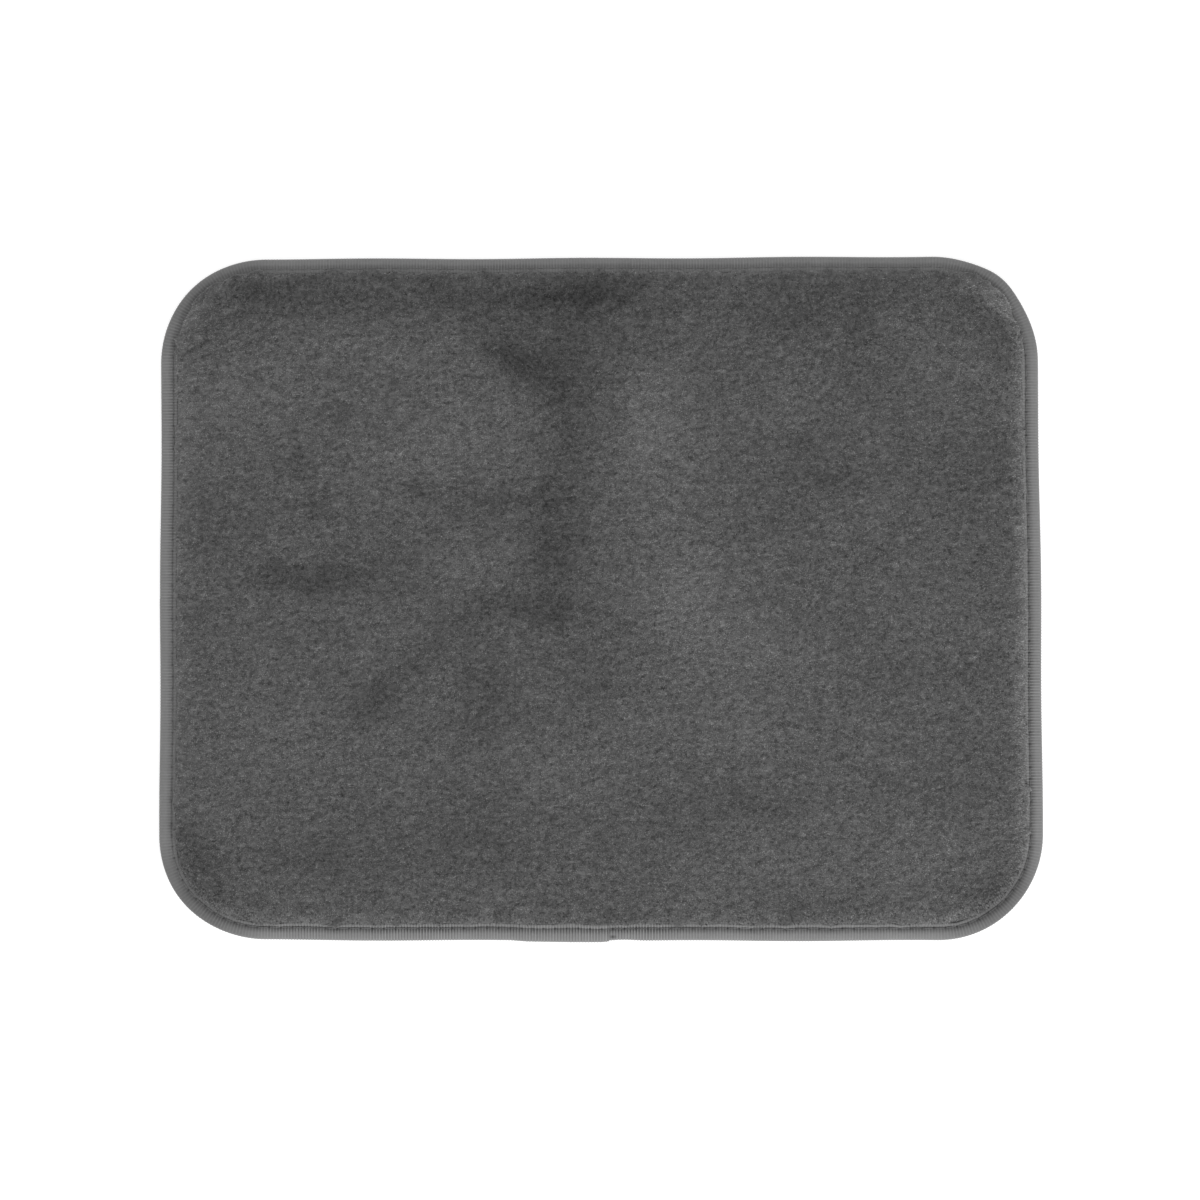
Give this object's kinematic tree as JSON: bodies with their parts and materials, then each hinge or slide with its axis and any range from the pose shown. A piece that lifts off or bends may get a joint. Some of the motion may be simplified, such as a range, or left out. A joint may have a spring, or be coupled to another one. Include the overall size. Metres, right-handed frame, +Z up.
{
  "type": "bath mat",
  "caption": "Rectangular foam-cored bath mat with rounded corners, a plush cut-pile face, a sewn ribbed tape binding and a dotted grip backing.",
  "frame": {"origin": "on the floor plane, under the middle of the mat", "axes": "+X along the mat's length, +Y across it towards the back edge, +Z up out of the pile"},
  "size_m": [0.45, 0.3505, 0.0117],
  "materials": {
    "backing_cloth": "matte",
    "grip_rubber": "satin",
    "foam": "matte",
    "ground_knit": "matte",
    "pile": "matte",
    "binding_tape": "matte",
    "sewing_thread": "satin",
    "label_satin": "satin"
  },
  "bodies": {
    "root": {"backing_sheet": "backing_cloth", "grip_dots": "grip_rubber", "foam_core": "foam", "ground_cloth": "ground_knit", "plush_pile": "pile", "edge_binding": "binding_tape", "needle_thread": "sewing_thread", "bobbin_thread": "sewing_thread", "care_label": "label_satin"}
  },
  "joints": []
}
